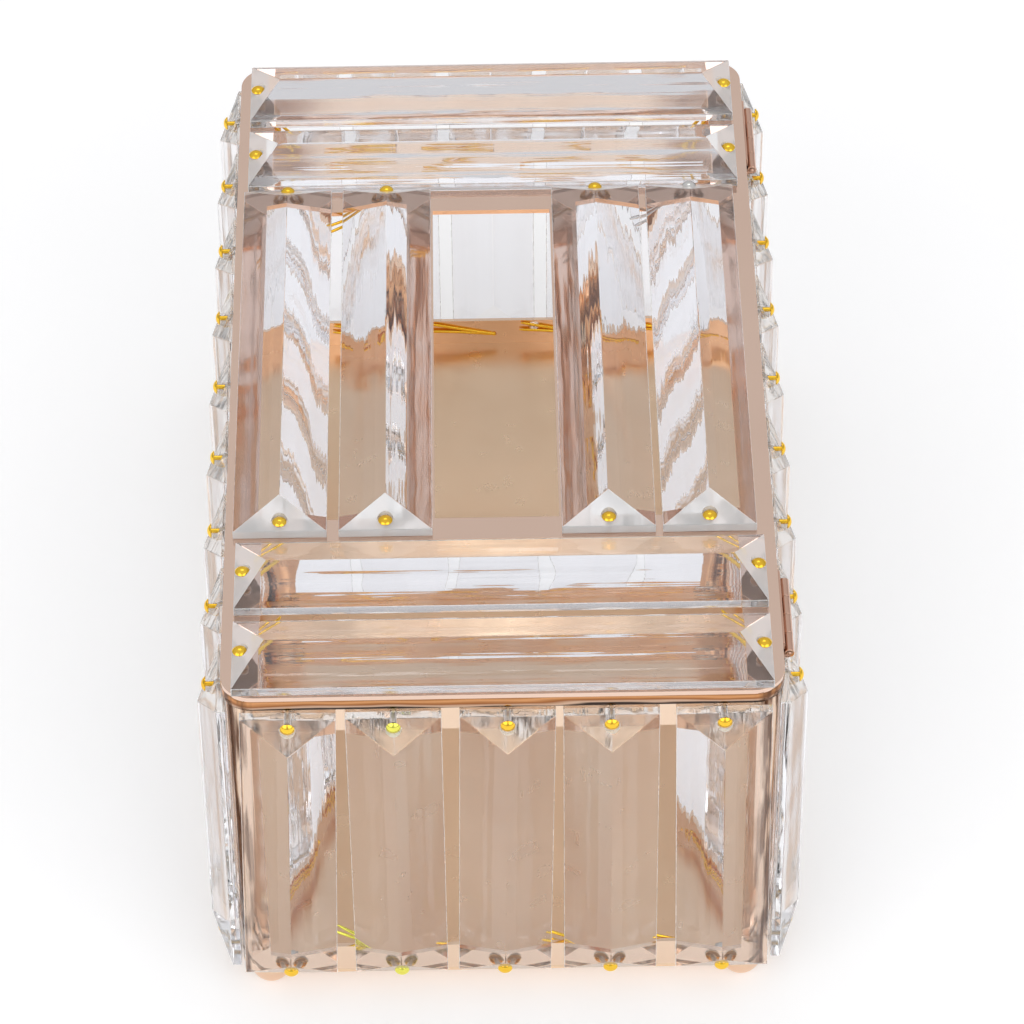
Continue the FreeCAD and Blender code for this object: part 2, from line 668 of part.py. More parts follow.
def wall_pins(label, places, outward, towards, lower_rises, stand=0.0):
    """Pins of one wall: lower legs rise from the floor, upper legs fall away from the lid."""
    half_across, half_along = value(HALF_WIDTH), value(HALF_LENGTH)
    if outward.x:
        half_across, half_along = half_along, half_across
    # Legs stay on the flat of the wall and end before its round corner.
    flat_end = half_across - measure("body_corner_radius") - measure("pin_leg_room")
    # The legs turn about the outward axis, so up is a left turn on one wall and a right turn on another.
    sense = 1 if outward.cross(towards).z > 0 else -1
    sideways = FreeCAD.Vector(abs(towards.x), abs(towards.y), 0)
    solids = []
    for index, (side, height) in enumerate(places):
        place = outward * half_along + sideways * value(side) + TOP * value(height)
        leg = min(measure("pin_leg_length"), flat_end - place.dot(towards))
        upper = index % 2 == 0
        rise = -measure("pin_leg_rise") if upper else lower_rises[index // 2 % len(lower_rises)]
        solids.append(
            pin_solid(place, outward, towards, sense * rise, measure("wall_thickness"), leg, stand))
    node_of_solids(label, solids)


def lid_pins():
    """Pins of the lid's bars, whose legs end short of the neighbouring bar's pin."""
    bar_pitch = value(LID_BAR_2_X) - value(LID_BAR_1_X)
    leg = min(measure("pin_leg_length"), bar_pitch - measure("lid_leg_room"))
    solids = []
    for x, y, heading in lid_pin_places():
        towards = spin(Z_AXIS, heading).multVec(FreeCAD.Vector(1, 0, 0))
        place = vector(x, y, LID_TOP)
        solids.append(pin_solid(place, TOP, towards, 0.0, measure("lid_thickness"), leg))
    node_of_solids("lid_pins", solids)


def make_pins():
    rise = (measure("pin_leg_rise"),)
    stand = measure("side_pin_stand")
    wall_pins("front_pins", front_pin_places(), FRONT, LEFT, FRONT_LEG_RISES)
    wall_pins("back_pins", back_pin_places(), FRONT * -1, LEFT, rise)
    wall_pins("left_pins", side_pin_places(), LEFT, FRONT, rise, stand)
    wall_pins("right_pins", side_pin_places(), LEFT * -1, FRONT, rise, stand)
    lid_pins()


# ---------------------------------------------------------------- ball feet and their screws
def make_feet():
    names = ("front_left_foot", "front_right_foot", "back_left_foot", "back_right_foot")
    centre_z = f"({cell('foot_radius')} - {cell('foot_flat_depth')})"
    for label, (x, y) in zip(names, foot_places()):
        ball = doc.addObject("Part::Sphere", label + "_ball")
        bind(
            ball,
            Radius=cell("foot_radius"),
            Angle1=f"-asin({centre_z} / {cell('foot_radius')})",
            Angle2=f"asin(({cell('foot_height')} - {centre_z}) / {cell('foot_radius')})",
            _at_x=x,
            _at_y=y,
            _at_z=centre_z,
        )
        depth = f"({cell('screw_reach')} + {cell('screw_hole_spare')})"
        hole = cylinder(
            label + "_thread",
            (x, y, f"{cell('foot_height')} - {depth}"),
            f"{cell('screw_radius')} - {cell('screw_bite')}",
            f"2 * {depth}",
        )
        node(cut(label, ball, hole), label)


def make_foot_screws():
    """Slotted pan-head screws that clamp the floor plate to the feet."""
    head_radius = measure("screw_head_radius")
    head_height = measure("screw_head_height")
    slot_width = measure("screw_slot_width")
    slot_bottom = head_height - measure("screw_slot_depth")
    shank_length = measure("screw_reach") + measure("floor_thickness") + head_height / 2
    solids = []
    for x, y in foot_places():
        tip = vector(x, y, f"{cell('foot_height')} - {cell('screw_reach')}")
        seat = vector(x, y, FLOOR_TOP)
        shank = Part.makeCylinder(measure("screw_radius"), shank_length, tip)
        head = Part.makeCylinder(head_radius, head_height, seat)
        rounded = head.makeFillet(head_height / 2, [head.Edges[0]])
        slot = Part.makeBox(2 * head_radius, slot_width, head_height)
        slot.translate(seat + FreeCAD.Vector(-head_radius, -slot_width / 2, slot_bottom))
        solids.append(shank.fuse(rounded).cut(slot))
    node_of_solids("foot_screws", solids)


# ---------------------------------------------------------------- hinges
def hinge_y(side):
    """Middle of the front hinge (-1) or the back hinge (1)."""
    return f"({side} * ({HALF_LENGTH} - {cell('hinge_inset')}))"


def knuckle_span(side, index):
    """Start and length of one knuckle along Y."""
    pitch = f"(({cell('hinge_length')} + {cell('hinge_knuckle_gap')}) / {KNUCKLES})"
    start = f"({hinge_y(side)} - {cell('hinge_length')} / 2 + {index} * {pitch})"
    return start, f"({pitch} - {cell('hinge_knuckle_gap')})"


def leaf(label, side, plates, tab, knuckles, bore_radius):
    """Hinge leaf: plates joined by tabs to rolled knuckles, bored for the pin."""
    pieces = list(plates)
    for index in knuckles:
        start, length = knuckle_span(side, index)
        roll = cylinder(f"{label}_roll_{index}", (HINGE_X, start, HINGE_Z),
                        cell("hinge_knuckle_radius"), length, ALONG_Y)
        (x, z), (dx, dz) = tab
        pieces.append(roll)
        pieces.append(box(f"{label}_tab_{index}", (x, start, z), (dx, length, dz)))
    first = f"{hinge_y(side)} - {cell('hinge_length')}"
    bore = cylinder(f"{label}_bore", (HINGE_X, first, HINGE_Z), bore_radius,
                    f"2 * {cell('hinge_length')}", ALONG_Y)
    node(cut(label, fuse(label + "_blank", pieces), bore), label)


def make_hinges():
    inner_face = f"({HALF_WIDTH} - {cell('wall_thickness')})"
    web_end = f"({HINGE_X} - {cell('hinge_knuckle_radius')} - {cell('hinge_notch')})"
    sheet_size = cell("hinge_sheet")
    for side, name in ((-1, "front"), (1, "back")):
        low_y = f"({hinge_y(side)} - {cell('hinge_length')} / 2)"
        length = cell("hinge_length")
        # The body leaf passes through its slot in the wall and turns down behind the top rail.
        web = box(f"{name}_hinge_web", (f"{inner_face} - {sheet_size}", low_y, HINGE_WEB_BOTTOM),
                  (f"{web_end} - {inner_face} + {sheet_size}", length, sheet_size))
        drop = cell("hinge_flange_drop")
        flange_low = (f"{inner_face} - {sheet_size}", low_y, f"{HINGE_WEB_BOTTOM} - {drop}")
        flange = box(f"{name}_hinge_flange", flange_low,
                     (sheet_size, length, f"{drop} + {sheet_size}"))
        web_tab = ((web_end, HINGE_WEB_BOTTOM), (f"{HINGE_X} - {web_end}", sheet_size))
        leaf(f"{name}_hinge_body_leaf", side, [web, flange], web_tab, (0, 2),
             f"{cell('hinge_pin_radius')} - {cell('hinge_press')}")
        # The lid leaf stands on the outside of the lid's rim, notched round the body's knuckles.
        plate_low = f"({HINGE_Z} + {cell('hinge_knuckle_radius')} + {cell('hinge_notch')})"
        plate_top = f"({LID_TOP} - {cell('hinge_lid_leaf_margin')})"
        plate = box(f"{name}_hinge_plate", (LID_HALF_WIDTH, low_y, plate_low),
                    (sheet_size, length, f"{plate_top} - {plate_low}"))
        plate_tab = ((LID_HALF_WIDTH, HINGE_Z), (sheet_size, f"{plate_low} - {HINGE_Z}"))
        leaf(f"{name}_hinge_lid_leaf", side, [plate], plate_tab, (1, 3),
             f"{cell('hinge_pin_radius')} + {cell('hinge_running_gap')}")
        pin = cylinder(f"{name}_hinge_pin", (HINGE_X, f"{low_y} - {cell('hinge_pin_stand')}", HINGE_Z),
                       cell("hinge_pin_radius"), f"{length} + 2 * {cell('hinge_pin_stand')}", ALONG_Y)
        node(pin, f"{name}_hinge_pin")


# ---------------------------------------------------------------- build, check, write
make_body_frame()
make_floor_panel()
make_lid_plate()
make_lid_rim()
make_wall_crystals()
make_lid_crystals()
make_feet()
make_hinges()
doc.recompute()
make_pins()
make_foot_screws()
doc.recompute()

for item in doc.Objects:
    if "Invalid" in item.State or "Error" in item.State:
        raise ValueError(f"{item.Label} failed: {item.State}")
for item in nodes:
    if item.Shape.isNull() or not item.Shape.isValid() or not item.Shape.Solids:
        raise ValueError(f"{item.Label} has no valid solid")
for item in nodes:
    item.Shape.exportStep(f"parts/{item.Label}.step")
print(len(nodes), "nodes written")
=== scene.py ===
"""Wedding card box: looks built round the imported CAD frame.

Lengths are in metres, and small ones are written as millimetres times MM. Angles are in degrees.
"""

import math
import random
from collections import namedtuple

import bmesh
import bpy
import numpy as np
from mathutils import Matrix, Vector


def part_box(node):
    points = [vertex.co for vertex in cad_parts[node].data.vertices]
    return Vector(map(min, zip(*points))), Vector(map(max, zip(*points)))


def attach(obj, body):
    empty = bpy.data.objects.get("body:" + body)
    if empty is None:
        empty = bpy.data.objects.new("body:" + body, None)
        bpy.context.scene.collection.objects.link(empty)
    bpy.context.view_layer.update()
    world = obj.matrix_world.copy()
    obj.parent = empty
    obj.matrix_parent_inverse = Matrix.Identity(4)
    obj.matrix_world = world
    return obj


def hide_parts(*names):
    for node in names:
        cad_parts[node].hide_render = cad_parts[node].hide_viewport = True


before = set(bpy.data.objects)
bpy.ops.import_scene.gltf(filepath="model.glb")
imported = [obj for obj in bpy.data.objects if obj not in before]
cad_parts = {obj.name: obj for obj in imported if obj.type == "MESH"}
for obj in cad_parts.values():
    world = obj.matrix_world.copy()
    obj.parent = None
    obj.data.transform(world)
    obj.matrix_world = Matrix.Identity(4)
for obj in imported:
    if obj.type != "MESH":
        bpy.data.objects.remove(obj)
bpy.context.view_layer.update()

MM = 0.001
X, Y, Z = Vector((1, 0, 0)), Vector((0, 1, 0)), Vector((0, 0, 1))

# ---------------------------------------------------------------- sizes that the looks need
PLINTH = 2.2 * MM
CROWN = 7.0 * MM
HIP = 7.3 * MM
HOLE_INSET = 1.8 * MM
BORE_RADIUS = 0.75 * MM
SEAT_RADIUS = 1.9 * MM
SEAT_HEIGHT = PLINTH + (CROWN - PLINTH) * HOLE_INSET / HIP
AIR_GAP = 0.04 * MM
EDGE_GRIND = 0.14 * MM
WALL_SHEET = 1.0 * MM
LID_SHEET = 1.2 * MM
ROUND_STEPS = 28
HEAD_RADIUS = 1.65 * MM
HEAD_RIM = 0.25 * MM
HEAD_DOME = 0.8 * MM
HEAD_LIFT = 0.02 * MM
HEAD_UNDERCUT = 0.08 * MM
HEAD_SHOULDER = 0.03 * MM
DOME_STEPS = 6
DOME_SHARE = 0.985
SHAFT_RADIUS = 0.55 * MM
SHAFT_STEPS = 16
SHAFT_IN_HEAD = 0.1 * MM
LEG_LENGTH = 18.0 * MM
LEG_WIDTH = 0.85 * MM
LEG_THICKNESS = 0.6 * MM
LEG_SPREAD = 4.0
# How far each leg strays at random: degrees of spread, then plain millimetres of sag and of sideways curl.
LEG_SPREAD_PLAY = 0.6
LEG_SAG = (0.1, 0.35)
LEG_CURL = 0.35
LEG_STEPS = 12
LEG_ROOT = 0.25 * MM
LEG_TUCK = 0.15 * MM
LEG_TIP_START = 0.9
LEG_TIP_TAPER = 5.5
LEG_RISE = 9.0
LEG_CORNER_ROOM = 6.3 * MM
SIDE_STAND = 1.4 * MM
FRONT_LEG_RISES = (9.0, 31.0, 12.0, 22.0, 14.0)
LEGS_TO_RIGHT = (-10.0, 10.0)
LEGS_TO_LEFT = (175.0, 210.0)
STRIP_LEG_SLANT = 57.0
KNUCKLE_RADIUS = 1.2 * MM
HINGE_SHEET = 0.5 * MM
KNUCKLE_GAP = 0.15 * MM
KNUCKLE_SEAM = 14.0
KNUCKLE_SOFT = 0.06 * MM
KNUCKLE_STEPS = 26
BODY_KNUCKLES, BODY_SEAM_AT = (0, 2), 250
LID_KNUCKLES, LID_SEAM_AT = (1, 3), 205
LEAF_NOTCH = 0.3 * MM
LEAF_EDGE = 0.05 * MM
HINGE_PIN_STEPS = 24
HINGE_PIN_CROWN = 0.12 * MM
HINGE_PIN_END = 0.02 * MM
FOOT_FLAT = 0.3 * MM
FOOT_NECK = 0.5 * MM
NECK_STEP = 0.05 * MM
NECK_BASE = 0.42 * MM
NECK_EDGE = 0.06 * MM
NECK_CLEARANCE = 0.01 * MM
FOOT_ARC_STEPS = 18
FOOT_ROUND_STEPS = 48
SPARE_HOLE = (10.6 * MM, 13.0 * MM)
SPARE_HOLE_RADIUS = 1.0 * MM
SMOOTH_BELOW = 40
FOOT_SMOOTH_BELOW = 50
WELD_DISTANCE = 0.001 * MM

random.seed(7)


# ---------------------------------------------------------------- materials
def new_material(name):
    """A node material, with its tree and its shader."""
    material = bpy.data.materials.new(name)
    material.use_nodes = True
    tree = material.node_tree
    return material, tree, tree.nodes["Principled BSDF"]


def node(tree, kind, links=(), **inputs):
    """Adds a node, sets its inputs by name and links (input name, output socket) pairs."""
    made = tree.nodes.new(kind)
    for key, number in inputs.items():
        made.inputs[key.replace("_", " ")].default_value = number
    for key, socket in links:
        tree.links.new(socket, made.inputs[key])
    return made


def object_coordinates(tree, scale=(1, 1, 1)):
    """Object coordinates times a scale on each axis."""
    place = tree.nodes.new("ShaderNodeTexCoord")
    mapping = tree.nodes.new("ShaderNodeMapping")
    mapping.inputs["Scale"].default_value = scale
    tree.links.new(place.outputs["Object"], mapping.inputs["Vector"])
    return mapping.outputs["Vector"]


def noise(tree, vector, scale, detail):
    """Noise from 0 to 1 over a vector socket."""
    made = node(tree, "ShaderNodeTexNoise", [("Vector", vector)], Scale=scale, Detail=detail, Roughness=0.5)
    return made.outputs["Fac"]


def ramp(tree, factor, stops):
    """Colour ramp from a list of (position, colour) stops."""
    made = tree.nodes.new("ShaderNodeValToRGB")
    elements = made.color_ramp.elements
    for index, (position, colour) in enumerate(stops):
        element = elements[index] if index < 2 else elements.new(position)
        element.position = position
        element.color = (*colour, 1)
    tree.links.new(factor, made.inputs["Fac"])
    return made.outputs["Color"]


def spread(tree, factor, low, high, start=0.3, end=0.7):
    """Maps a noise value to a range."""
    made = tree.nodes.new("ShaderNodeMapRange")
    made.inputs["From Min"].default_value = start
    made.inputs["From Max"].default_value = end
    made.inputs["To Min"].default_value = low
    made.inputs["To Max"].default_value = high
    tree.links.new(factor, made.inputs["Value"])
    return made.outputs["Result"]


def bump(tree, height, strength, distance):
    """Normal socket of a height socket."""
    made = node(tree, "ShaderNodeBump", [("Height", height)], Strength=strength, Distance=distance)
    return made.outputs["Normal"]


def blend(tree, factor, first, second):
    """Mixes two colour sockets."""
    made = tree.nodes.new("ShaderNodeMix")
    made.data_type = "RGBA"
    tree.links.new(factor, made.inputs["Factor"])
    tree.links.new(first, made.inputs[6])
    tree.links.new(second, made.inputs[7])
    return made.outputs[2]


def math_node(tree, operation, first, second=None, clamp=False):
    """Math node; each operand is a socket or a number."""
    made = tree.nodes.new("ShaderNodeMath")
    made.operation = operation
    made.use_clamp = clamp
    for index, operand in enumerate((first, second)):
        if isinstance(operand, (int, float)):
            made.inputs[index].default_value = operand
        elif operand is not None:
            tree.links.new(operand, made.inputs[index])
    return made.outputs["Value"]


def corner_reflection_share(tree):
    """1 where a rounded vertical corner faces diagonally outward, 0 on the flat walls; this is the mask of
    the painted dark reflection streaks.
    """
    geometry = tree.nodes.new("ShaderNodeNewGeometry")
    split = tree.nodes.new("ShaderNodeSeparateXYZ")
    tree.links.new(geometry.outputs["True Normal"], split.inputs["Vector"])
    product = math_node(tree, "MULTIPLY", split.outputs["X"], split.outputs["Y"])
    return math_node(tree, "MULTIPLY", math_node(tree, "ABSOLUTE", product), CORNER_REFLECTION_GAIN, True)


def plated_metal(name, light, deep, roughness, waviness=0.06, grain=(1, 1, 1), grain_scale=900.0,
                 grain_depth=0.02, corners=False, reflection_and_shadow_band=None):
    """Plated metal: patchy tone and roughness, slow waviness of thin sheet, fine polishing grain.

    corners paints dark brown reflection streaks on the rounded vertical corners; reflection_and_shadow_band
    is the (low, high) height of a rim in metres, over which bands of painted reflection and a painted shadow
    line at the bottom edge are laid.
    """
    material, tree, shader = new_material(name)
    plain = object_coordinates(tree)
    colour = ramp(tree, noise(tree, plain, 26.0, 3.0), [(0.3, deep), (0.7, light)])
    # painted reflection bands over the rim's height, with a painted shadow line along its bottom edge
    if reflection_and_shadow_band:
        split = tree.nodes.new("ShaderNodeSeparateXYZ")
        tree.links.new(plain, split.inputs["Vector"])
        height = node(tree, "ShaderNodeMapRange", [("Value", split.outputs["Z"])])
        height.inputs["From Min"].default_value = reflection_and_shadow_band[0]
        height.inputs["From Max"].default_value = reflection_and_shadow_band[1]
        wander = spread(tree, noise(tree, object_coordinates(tree, (1, 1, 7)), 32.0, 2.0), -0.16, 0.16)
        across = math_node(tree, "ADD", height.outputs["Result"], wander)
        colour = blend(tree, ramp(tree, across, RIM_REFLECTION_SHARE), colour, ramp(tree, across, RIM_REFLECTION_AND_SHADOW_TONES))
    # painted reflection: dark brown streaks on the rounded vertical corners
    if corners:
        painted_streaks = noise(tree, object_coordinates(tree, (1, 1, 0.12)), 420.0, 2.0)
        share = math_node(tree, "MULTIPLY", corner_reflection_share(tree), spread(tree, painted_streaks, 0.0, 1.0, 0.42, 0.56))
        colour = blend(tree, share, colour, ramp(tree, painted_streaks, [(0.0, PAINTED_CORNER_REFLECTION), (1.0, PAINTED_CORNER_REFLECTION)]))
    tree.links.new(colour, shader.inputs["Base Color"])
    patches = noise(tree, plain, 140.0, 4.0)
    tree.links.new(spread(tree, patches, roughness[0], roughness[1]), shader.inputs["Roughness"])
    shader.inputs["Metallic"].default_value = 1.0
    slow = bump(tree, noise(tree, plain, 38.0, 1.0), waviness, 1.0 * MM)
    polish = noise(tree, object_coordinates(tree, grain), grain_scale, 2.0)
    fine = node(tree, "ShaderNodeBump", [("Height", polish), ("Normal", slow)],
                Strength=grain_depth, Distance=0.1 * MM)
    tree.links.new(fine.outputs["Normal"], shader.inputs["Normal"])
    return material


def crystal_glass(name, axis, clearness, tint, striae, slow_wave, roughness=None):
    """Moulded prism glass: fine striae and a broader swell along one axis (0, 1 or 2), and slow waves."""
    material, tree, shader = new_material(name)
    shader.inputs["Base Color"].default_value = (*tint, 1)
    shader.inputs["Transmission Weight"].default_value = clearness
    shader.inputs["IOR"].default_value = GLASS_IOR
    stretch = [1.0, 1.0, 1.0]
    stretch[axis] = STRIAE_STRETCH
    run = object_coordinates(tree, stretch)
    lines = bump(tree, noise(tree, run, STRIAE_SCALE, 2.0), 1.0, striae)
    swell = node(tree, "ShaderNodeBump", [("Height", noise(tree, run, SWELL_SCALE, 0.0)), ("Normal", lines)],
                 Strength=1.0, Distance=striae * SWELL_GAIN)
    wave_height = noise(tree, object_coordinates(tree), 60.0, 1.0)
    waves = node(tree, "ShaderNodeBump", [("Height", wave_height), ("Normal", swell.outputs["Normal"])],
                 Strength=1.0, Distance=slow_wave)
    tree.links.new(waves.outputs["Normal"], shader.inputs["Normal"])
    if roughness:
        patches = noise(tree, object_coordinates(tree), 300.0, 3.0)
        tree.links.new(spread(tree, patches, roughness[0], roughness[1]), shader.inputs["Roughness"])
    else:
        shader.inputs["Roughness"].default_value = 0.0
    return material


GLASS_IOR = 1.48
STRIAE_SCALE = 520.0
STRIAE_STRETCH = 0.02
SWELL_SCALE = 150.0
SWELL_GAIN = 9.0
CORNER_REFLECTION_GAIN = 2.4
# colour of the painted dark reflection streaks on the rounded corners
PAINTED_CORNER_REFLECTION = (0.16, 0.075, 0.04)
# share and tones of the rim's painted reflection bands; the darkest, lowest stop is a painted shadow line
# under the rim
RIM_REFLECTION_SHARE = [(0.70, (1.0, 1.0, 1.0)), (0.80, (0.0, 0.0, 0.0))]
RIM_REFLECTION_AND_SHADOW_TONES = [(0.06, (0.05, 0.035, 0.03)), (0.14, (0.62, 0.42, 0.30)), (0.30, (0.30, 0.11, 0.035)),
              (0.50, (0.66, 0.32, 0.14)), (0.66, (0.40, 0.17, 0.06))]
RIM_HEIGHTS = (95.1 * MM, 99.1 * MM)
CHAMPAGNE, CHAMPAGNE_DEEP = (0.83, 0.615, 0.50), (0.80, 0.585, 0.47)
POLISHED = plated_metal("polished_champagne_gold", CHAMPAGNE, CHAMPAGNE_DEEP, (0.07, 0.13))
# the body carries painted dark reflection streaks on its rounded corners
BODY_METAL = plated_metal("polished_body_gold", (0.86, 0.655, 0.50), (0.83, 0.62, 0.46), (0.07, 0.13),
                          corners=True)
# the rim carries painted dark reflection streaks on its corners, painted reflection bands over its height and
# a painted shadow line at its bottom edge
RIM_METAL = plated_metal("polished_rim_gold", CHAMPAGNE, CHAMPAGNE_DEEP, (0.07, 0.13),
                         corners=True, reflection_and_shadow_band=RIM_HEIGHTS)
SATIN = plated_metal("satin_floor_gold", (0.89, 0.66, 0.455), (0.84, 0.61, 0.41), (0.26, 0.36), 0.02,
                     (1, 0.03, 1), 1500.0, 0.10)
HINGE_METAL = plated_metal("hinge_rose_gold", (0.72, 0.47, 0.36), (0.62, 0.38, 0.28), (0.14, 0.24))
FOOT_METAL = plated_metal("foot_gold", (0.86, 0.62, 0.45), (0.80, 0.56, 0.40), (0.08, 0.14))
PIN_GOLD = plated_metal("pin_yellow_gold", (0.98, 0.64, 0.07), (0.90, 0.52, 0.04), (0.12, 0.22))
PIN_LIME = plated_metal("pin_lime_gold", (0.90, 0.86, 0.16), (0.80, 0.78, 0.12), (0.12, 0.22))
PIN_NICKEL = plated_metal("pin_nickel", (0.80, 0.79, 0.77), (0.70, 0.69, 0.67), (0.12, 0.22))
SCREW_STEEL = plated_metal("screw_zinc_steel", (0.66, 0.64, 0.60), (0.56, 0.54, 0.51), (0.22, 0.34))
GLASS_TINT = (0.945, 0.95, 0.975)
CRYSTALS = [crystal_glass(f"crystal_clear_{axis}", index, 1.0, GLASS_TINT, 0.032 * MM, 0.22 * MM)
            for index, axis in enumerate("xyz")]
GROUND_WAVES = (0.004 * MM, 0.1 * MM)
MILKY_LID = crystal_glass("crystal_milky_lid_end", 2, 0.50, (0.96, 0.955, 0.945), *GROUND_WAVES, (0.14, 0.24))
MILKY_WALL = crystal_glass("crystal_milky_wall_end", 2, 0.93, (0.95, 0.93, 0.91), *GROUND_WAVES, (0.03, 0.08))
FROSTED = crystal_glass("crystal_ground", 2, 0.50, (0.96, 0.96, 0.95), *GROUND_WAVES, (0.2, 0.35))


# ---------------------------------------------------------------- mesh helpers
def finish_piece(name, bm, materials, body, replaced, smooth_angle=SMOOTH_BELOW):
    """Turns a bmesh into a piece that rides on a body and stands for CAD nodes."""
    bmesh.ops.recalc_face_normals(bm, faces=bm.faces)
    mesh = bpy.data.meshes.new(name)
    bm.to_mesh(mesh)
    bm.free()
    for material in materials:
        mesh.materials.append(material)
    piece = bpy.data.objects.new(name, mesh)
    bpy.context.scene.collection.objects.link(piece)
    mesh.shade_smooth()
    mesh.set_sharp_from_angle(angle=math.radians(smooth_angle))
    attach(piece, body)
    if replaced:
        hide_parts(*replaced)


def local_frame(place, x_axis, y_axis, z_axis):
    """Matrix from local axes and an origin."""
    columns = Matrix((x_axis, y_axis, z_axis)).transposed().to_4x4()
    return Matrix.Translation(place) @ columns


def add_lathe(bm, profile, place, steps, material=0):
    """Turns (radius, height) points about the local Z axis; a radius of 0 closes an end."""
    rings = []
    for radius, height in profile:
        if radius <= 0:
            rings.append([bm.verts.new(place @ Vector((0, 0, height)))])
            continue
        ring = []
        for step in range(steps):
            angle = 2 * math.pi * step / steps
            point = Vector((radius * math.cos(angle), radius * math.sin(angle), height))
            ring.append(bm.verts.new(place @ point))
        rings.append(ring)
    for low, high in zip(rings, rings[1:]):
        for step in range(steps):
            after = (step + 1) % steps
            corners = [low[step % len(low)], low[after % len(low)],
                       high[after % len(high)], high[step % len(high)]]
            unique = list(dict.fromkeys(corners))
            if len(unique) > 2:
                bm.faces.new(unique).material_index = material


def add_tube(bm, points, half_sizes, up, material, steps=10):
    """Sweeps a flattened round section along points; half_sizes gives (across, thick) at each point."""
    rings = []
    for index, point in enumerate(points):
        before = points[max(index - 1, 0)]
        after = points[min(index + 1, len(points) - 1)]
        along = (after - before).normalized()
        across = along.cross(up).normalized()
        thick = across.cross(along).normalized()
        wide, deep = half_sizes[index]
        ring = []
        for step in range(steps):
            angle = 2 * math.pi * step / steps
            sideways = across * wide * math.cos(angle)
            upward = thick * deep * math.sin(angle)
            ring.append(bm.verts.new(point + sideways + upward))
        rings.append(ring)
    for low, high in zip(rings, rings[1:]):
        for step in range(steps):
            after = (step + 1) % steps
            bm.faces.new((low[step], low[after], high[after], high[step])).material_index = material
    bm.faces.new(rings[0]).material_index = material
    bm.faces.new(rings[-1]).material_index = material


def add_block(bm, low, high):
    """Axis-aligned block."""
    corners = [Vector((x, y, z)) for z in (low[2], high[2]) for x, y in
               ((low[0], low[1]), (high[0], low[1]), (high[0], high[1]), (low[0], high[1]))]
    verts = [bm.verts.new(corner) for corner in corners]
    for face in ((0, 1, 2, 3), (4, 5, 6, 7), (0, 1, 5, 4), (1, 2, 6, 5), (2, 3, 7, 6), (3, 0, 4, 7)):
        bm.faces.new([verts[index] for index in face])


def dress_cad(name, material, edge):
    """Keeps a CAD node, rounds its sheared edges a little and gives it its finish."""
    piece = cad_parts[name]
    piece.data.materials.clear()
    piece.data.materials.append(material)
    weld = piece.modifiers.new("weld", "WELD")
    weld.merge_threshold = 0.005 * MM
    flat = piece.modifiers.new("flat", "DECIMATE")
    flat.decimate_type = "DISSOLVE"
    flat.angle_limit = math.radians(0.5)
    rounded = piece.modifiers.new("edge", "BEVEL")
    rounded.width = edge
    rounded.segments = 2
    rounded.limit_method = "ANGLE"
    rounded.angle_limit = math.radians(40)
    rounded.harden_normals = True


# ---------------------------------------------------------------- crystal bars
Bar = namedtuple("Bar", "name centre across outward along length width")


def read_bar(name, outward, upward):
    """Place and size of a CAD bar, read from its ridge and its extents."""
    points = np.array([vertex.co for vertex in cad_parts[name].data.vertices], float)
    height = points @ np.array(outward)
    ridge = points[height > height.max() - 0.01 * MM]
    first = ridge[np.argmin(ridge @ np.array(upward))]
    last = ridge[np.argmax(ridge @ np.array(upward))]
    along = Vector(last - first).normalized()
    across = outward.cross(along).normalized()
    centre = Vector((first + last) / 2) - outward * CROWN
    reach = points @ np.array(along)
    side = points @ np.array(across)
    return Bar(name, centre, across, outward, along, float(np.ptp(reach)), float(np.ptp(side)))


def drilled(blank, length):
    """Cuts the two pin bores and their spot-faced seats out of a crystal blank."""
    tools = bmesh.new()
    for side in (-1, 1):
        place = local_frame(Vector((0, 0, side * (length / 2 - HOLE_INSET))), X, -Z, Y)
        profile = [(0, -MM), (BORE_RADIUS, -MM), (BORE_RADIUS, SEAT_HEIGHT), (SEAT_RADIUS, SEAT_HEIGHT),
                   (SEAT_RADIUS, 2 * CROWN), (0, 2 * CROWN)]
        add_lathe(tools, profile, place, ROUND_STEPS)
    bmesh.ops.recalc_face_normals(tools, faces=tools.faces)
    objects = []
    for bm in (blank, tools):
        mesh = bpy.data.meshes.new("crystal_work")
        bm.to_mesh(mesh)
        bm.free()
        made = bpy.data.objects.new("crystal_work", mesh)
        bpy.context.scene.collection.objects.link(made)
        objects.append(made)
    cut = objects[0].modifiers.new("cut", "BOOLEAN")
    cut.object = objects[1]
    cut.solver = "EXACT"
    bpy.context.view_layer.update()
    graph = bpy.context.evaluated_depsgraph_get()
    mesh = bpy.data.meshes.new_from_object(objects[0].evaluated_get(graph))
    for made in objects:
        bpy.data.objects.remove(made)
    return mesh


